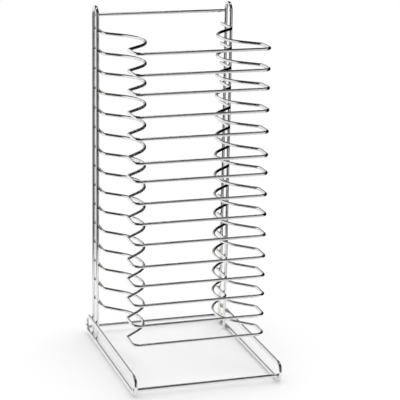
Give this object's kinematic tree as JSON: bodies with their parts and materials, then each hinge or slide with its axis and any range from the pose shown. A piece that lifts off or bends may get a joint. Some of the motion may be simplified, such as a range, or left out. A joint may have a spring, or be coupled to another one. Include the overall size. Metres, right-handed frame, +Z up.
{
  "type": "sheet pan rack",
  "caption": "Free-standing chromed wire rack with stacked open waisted shelves welded to two narrow hairpin uprights on runner loops, for holding round or sheet pans",
  "frame": {"origin": "on the surface the rack rests on, midway between the uprights, in line with the centres of their rear legs", "axes": "+X to the rack's right as seen from the front, +Y to the back, +Z up"},
  "size_m": [0.258, 0.338, 0.6029],
  "materials": {
    "chrome_frame_wire": "bright chrome plating on 6 mm steel wire",
    "chrome_shelf_wire": "bright chrome plating on 5 mm steel wire"
  },
  "bodies": {
    "root": {"upright_left": "chrome_frame_wire", "upright_right": "chrome_frame_wire", "top_cross_rod": "chrome_shelf_wire", "base_runner_left": "chrome_frame_wire", "base_runner_right": "chrome_frame_wire", "front_base_rod": "chrome_frame_wire", "rear_base_rod": "chrome_frame_wire", "shelf_01": "chrome_shelf_wire", "shelf_02": "chrome_shelf_wire", "shelf_03": "chrome_shelf_wire", "shelf_04": "chrome_shelf_wire", "shelf_05": "chrome_shelf_wire", "shelf_06": "chrome_shelf_wire", "shelf_07": "chrome_shelf_wire", "shelf_08": "chrome_shelf_wire", "shelf_09": "chrome_shelf_wire", "shelf_10": "chrome_shelf_wire", "shelf_11": "chrome_shelf_wire", "shelf_12": "chrome_shelf_wire", "shelf_13": "chrome_shelf_wire", "shelf_14": "chrome_shelf_wire", "shelf_15": "chrome_shelf_wire"}
  },
  "joints": []
}
